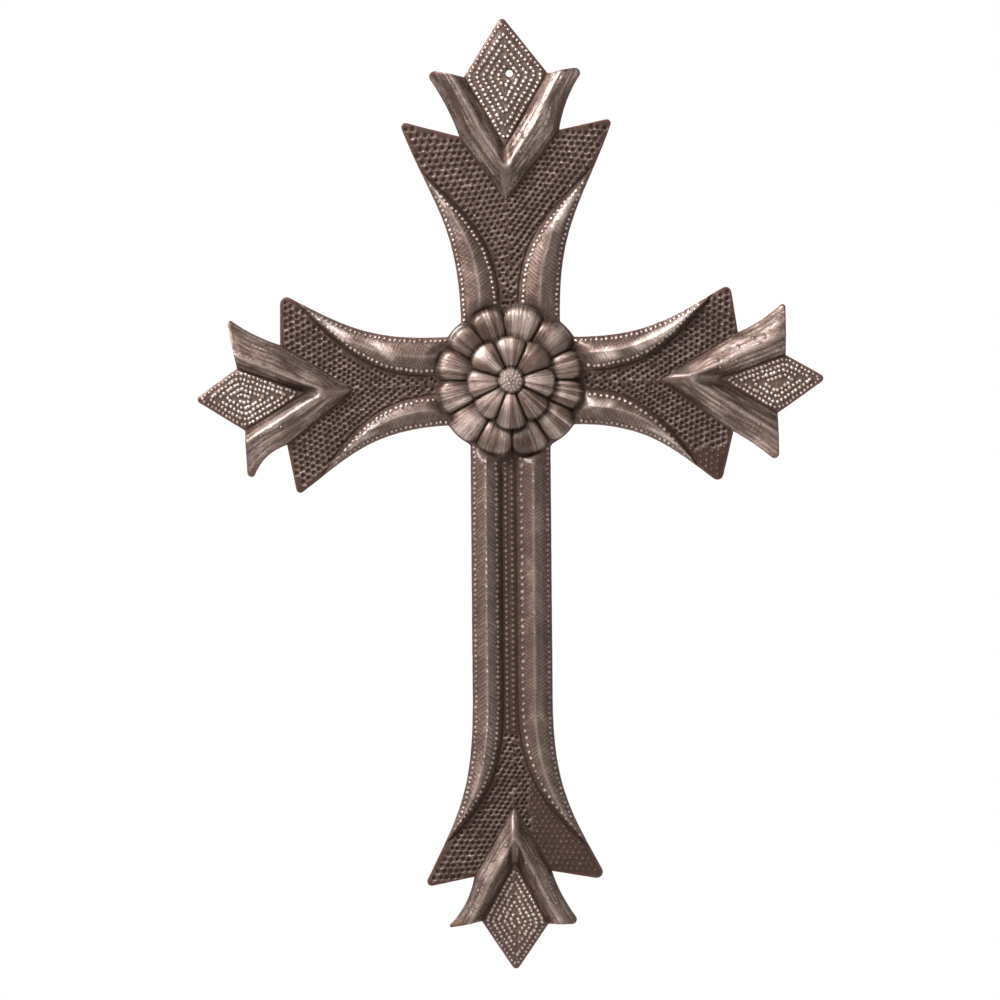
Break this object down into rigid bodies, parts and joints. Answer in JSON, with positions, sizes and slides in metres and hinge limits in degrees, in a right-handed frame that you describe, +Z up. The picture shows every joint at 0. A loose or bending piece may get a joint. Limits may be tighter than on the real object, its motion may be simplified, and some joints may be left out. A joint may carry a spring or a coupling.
{
  "type": "hammered steel wall cross",
  "caption": "Wall cross of hammered sheet steel with flared arms, V bands, pointed lozenge tips, a raised flower at the crossing and a nail hole near its top.",
  "frame": {"origin": "middle of the hanging hole, on the back plane that lies against the wall", "axes": "+Z up the cross, +X to the right seen from the front, +Y into the wall; the relief faces -Y"},
  "size_m": [0.2958, 0.0137, 0.4489],
  "materials": {
    "hammered_steel": "hammered and chased sheet steel, grey-brown patina under clear varnish, semi-gloss"
  },
  "bodies": {
    "root": {"cross": "hammered_steel"}
  },
  "joints": []
}
